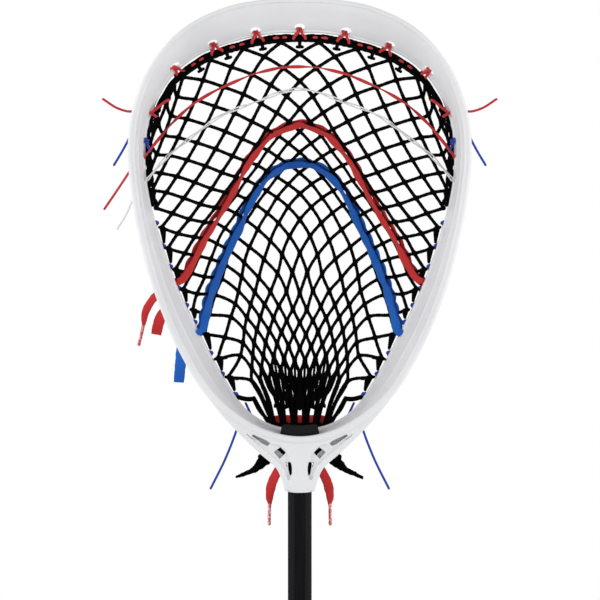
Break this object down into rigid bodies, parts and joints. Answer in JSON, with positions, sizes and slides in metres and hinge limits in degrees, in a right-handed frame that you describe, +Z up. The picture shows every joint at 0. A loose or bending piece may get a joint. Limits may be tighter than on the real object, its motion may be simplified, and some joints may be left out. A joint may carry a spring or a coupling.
{
  "type": "lacrosse goalie stick",
  "caption": "Lacrosse goalie stick: an eight-sided shaft carrying a wide moulded head strung with a deep mesh pocket, woven laces, lashing strings with loose ends, a ball stop and a butt cap.",
  "frame": {"origin": "centre of the butt end, the lower face of the end cap", "axes": "+Z up the shaft to the scoop, the open front of the head faces -Y, +X to the right as seen from the front"},
  "size_m": [0.3532, 0.1537, 1.4183],
  "materials": {
    "head": "satin moulded nylon",
    "shaft": "satin black anodised aluminium",
    "cap": "matte",
    "screw": "zinc-plated",
    "stop": "closed-cell foam",
    "mesh": "knitted polyester",
    "red": "braided nylon",
    "blue": "braided nylon",
    "blue_string": "braided nylon",
    "white": "braided nylon",
    "aglet": "clear red shrink tube"
  },
  "bodies": {
    "root": {"end_cap": "cap", "shaft": "shaft", "head_frame": "head", "head_screw": "screw", "ball_stop": "stop", "mesh_pocket": "mesh", "top_string": "red", "sidewall_string_left": "blue_string", "sidewall_string_right": "blue_string", "shooting_string_red": "red", "shooting_string_white": "white", "shooting_lace_red": "red", "shooting_lace_blue": "blue", "bottom_lace": "red", "top_string_tail_left": "red", "top_string_tail_right": "red", "sidewall_string_tail_left": "blue_string", "sidewall_string_tail_right": "blue_string", "lower_string_tail_left": "blue_string", "lower_string_tail_right": "blue_string", "inner_string_tail_left": "blue_string", "inner_string_tail_right": "blue_string", "mesh_tail_left": "mesh", "mesh_tail_right": "mesh", "bottom_lace_tail_left": "red", "bottom_lace_tail_right": "red", "bottom_lace_aglet_left": "aglet", "bottom_lace_aglet_right": "aglet", "shooting_string_red_tail": "red", "shooting_string_white_tail": "white", "shooting_lace_red_tail": "red", "shooting_lace_red_aglet": "aglet", "shooting_lace_red_cut_tail": "red", "shooting_lace_blue_cut_tail": "blue"}
  },
  "joints": []
}
